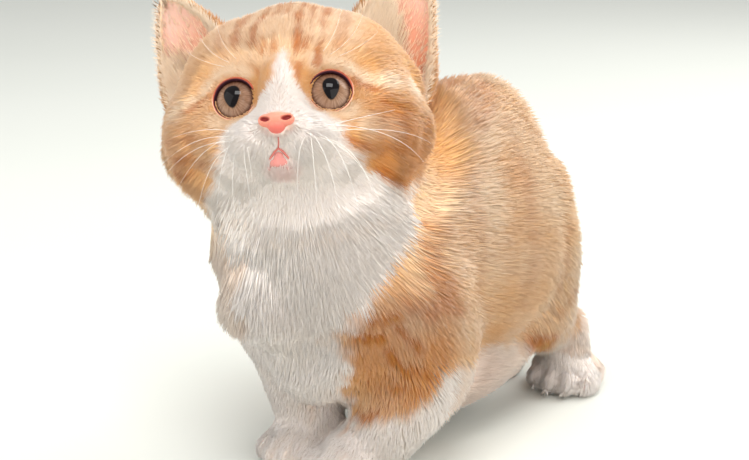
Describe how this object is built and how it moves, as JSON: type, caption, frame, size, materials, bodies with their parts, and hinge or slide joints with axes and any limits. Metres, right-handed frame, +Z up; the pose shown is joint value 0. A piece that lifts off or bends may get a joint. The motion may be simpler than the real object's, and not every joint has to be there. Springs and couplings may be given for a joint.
{
  "type": "munchkin kitten",
  "caption": "Standing short-legged kitten with its head raised and turned, and its tail hanging behind it.",
  "frame": {"origin": "on the floor, at the middle of the underside of the kitten's bounding box", "axes": "+Z up, +Y along the body from the face to the tail, +X towards the kitten's left"},
  "size_m": [0.11, 0.1912, 0.1606],
  "materials": {
    "orange_coat": "soft fur",
    "white_coat": "soft fur",
    "pink_skin": "soft satin",
    "eye": "wet gloss"
  },
  "bodies": {
    "root": {"head": "orange_coat", "neck": "white_coat", "torso": "orange_coat", "tail": "orange_coat", "front_left_leg": "orange_coat", "front_right_leg": "orange_coat", "hind_left_leg": "orange_coat", "hind_right_leg": "orange_coat", "front_left_paw": "white_coat", "front_right_paw": "white_coat", "hind_left_paw": "white_coat", "hind_right_paw": "white_coat", "ear_left": "pink_skin", "ear_right": "pink_skin", "nose": "pink_skin", "eye_left": "eye", "eye_right": "eye"}
  },
  "joints": []
}
